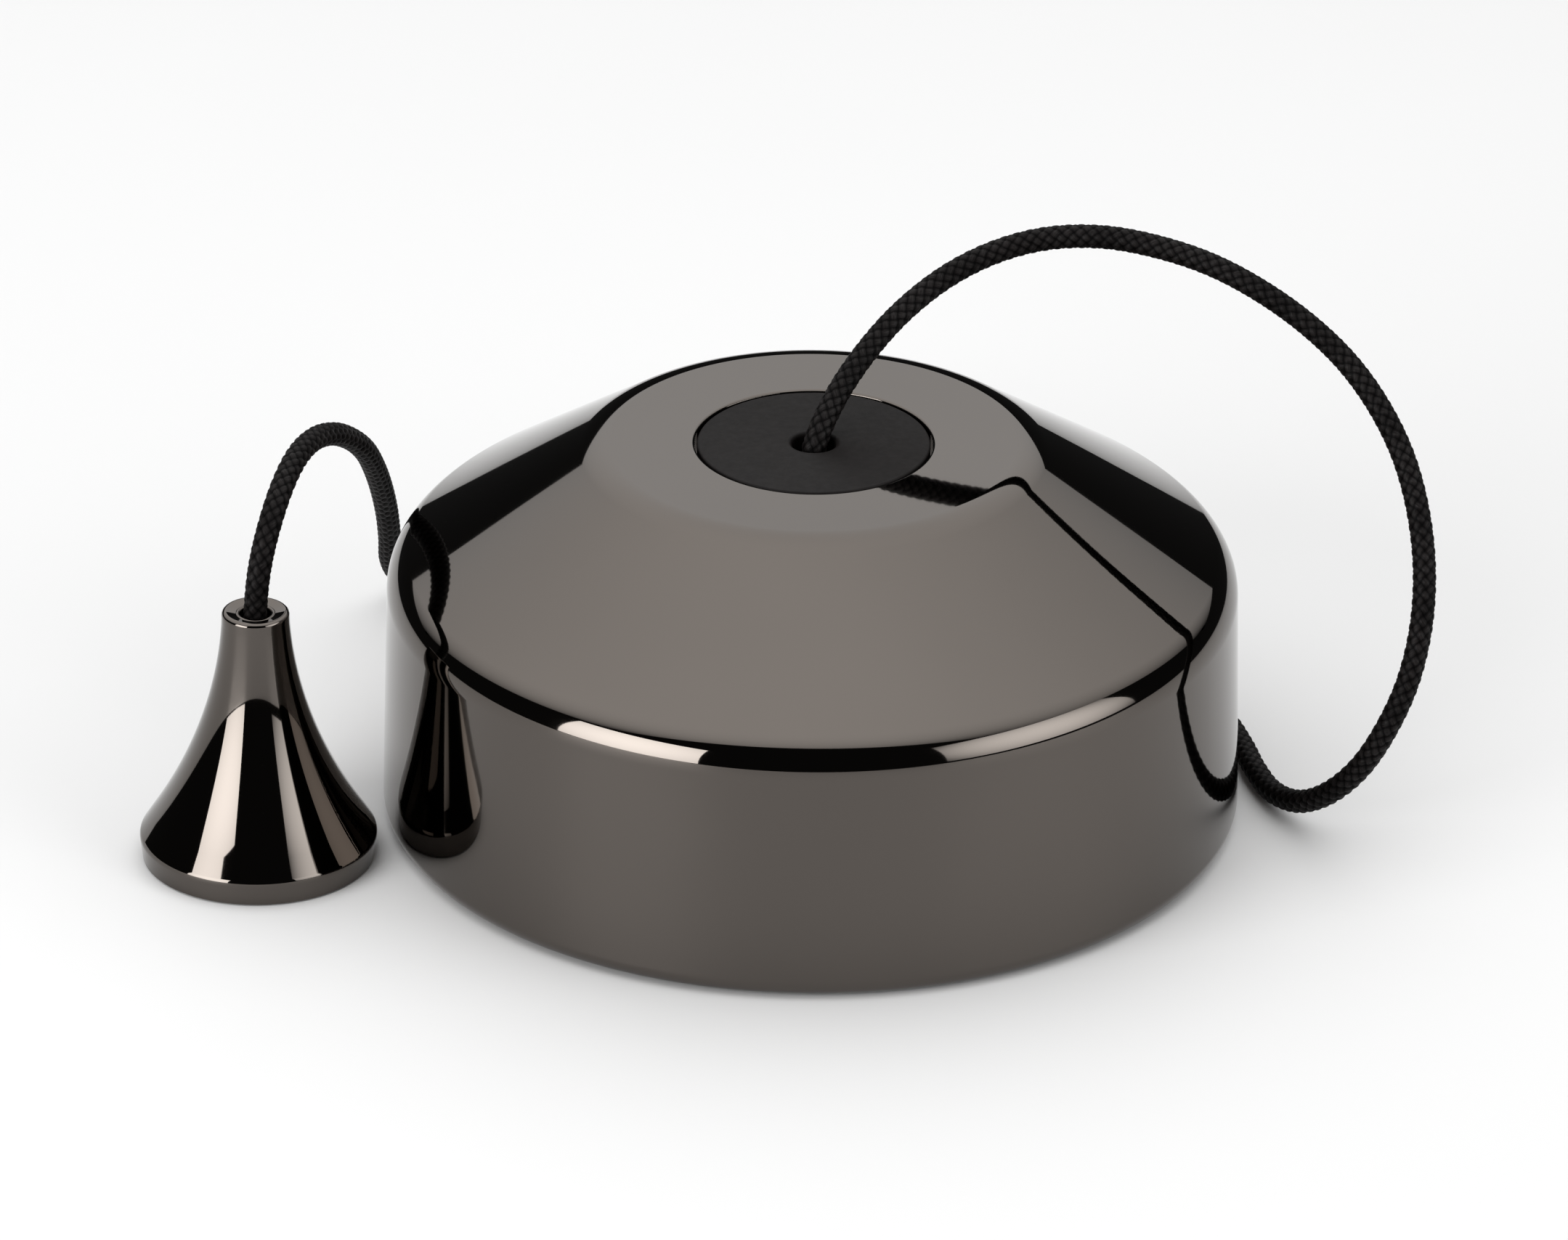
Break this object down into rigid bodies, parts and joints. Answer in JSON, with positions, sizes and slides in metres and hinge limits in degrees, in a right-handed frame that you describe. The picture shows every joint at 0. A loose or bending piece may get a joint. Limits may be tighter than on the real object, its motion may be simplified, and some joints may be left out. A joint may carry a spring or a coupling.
{
  "type": "ceiling pull cord switch",
  "caption": "Round ceiling pull cord switch with a polished dark metal cover, a black centre disc, a braided cord and a bell-shaped metal pull.",
  "frame": {"origin": "centre of the mounting face that meets the ceiling", "axes": "+Z out of the mounting face along the cover's axis, the way the cord leaves; +X along the line of the two fixing slots"},
  "size_m": [0.1419, 0.1408, 0.0625],
  "materials": {
    "black_nickel": "polished",
    "black_plastic": "matt moulded",
    "black_rubber": "matt",
    "white_moulding": "moulded",
    "grey_moulding": "moulded",
    "zinc_steel": "zinc plated",
    "brass": "bare",
    "contact_silver": "bright",
    "black_braid": "braided",
    "tie_strap": "matt"
  },
  "bodies": {
    "root": {"metal_cover": "black_nickel", "nose_bush": "black_plastic", "base_plate": "white_moulding", "cable_grommet": "black_rubber", "housing": "white_moulding", "housing_cap": "white_moulding", "housing_screws": "zinc_steel", "cap_screws": "zinc_steel", "spindle": "zinc_steel", "contact_live": "brass", "contact_load": "brass", "fixed_contact_tips": "contact_silver", "detent_spring": "zinc_steel", "terminal_live": "brass", "terminal_load": "brass", "terminal_loop": "brass", "terminal_earth": "brass", "terminal_screws": "zinc_steel", "earth_strap": "brass", "return_spring": "zinc_steel"},
    "pull": {"plunger": "grey_moulding", "cross_pin": "zinc_steel", "inner_knot": "black_braid", "cord_lead": "black_braid", "cord_coil": "black_braid", "coil_tie": "tie_strap", "cord_tail": "black_braid", "bell": "black_nickel", "bell_washer": "brass", "bell_knot": "black_braid"},
    "barrel": {"drive_barrel": "grey_moulding"},
    "rotor": {"contact_rotor": "white_moulding", "bridge_contact": "brass", "moving_contact_tips": "contact_silver"}
  },
  "joints": [
    {"name": "cord_pull", "type": "slide", "parent": "root", "child": "pull", "axis": [0, 0, 1], "range_m": [0, 0.008], "stiffness_N_per_m": 350, "springref_m": -0.004, "deforming": ["return_spring"]},
    {"name": "barrel_turn", "type": "hinge", "parent": "root", "child": "barrel", "pos_m": [0, 0, 0.015], "axis": [0, 0, 1], "range_deg": [0, 45.1]},
    {"name": "rotor_turn", "type": "hinge", "parent": "root", "child": "rotor", "pos_m": [0, 0, 0.005], "axis": [0, 0, 1], "range_deg": [0, 45.1]}
  ],
  "couplings": [
    {"joint": "barrel_turn", "follows": "cord_pull", "rad_per_m": 98.175},
    {"joint": "rotor_turn", "follows": "cord_pull", "rad_per_m": 98.175}
  ]
}
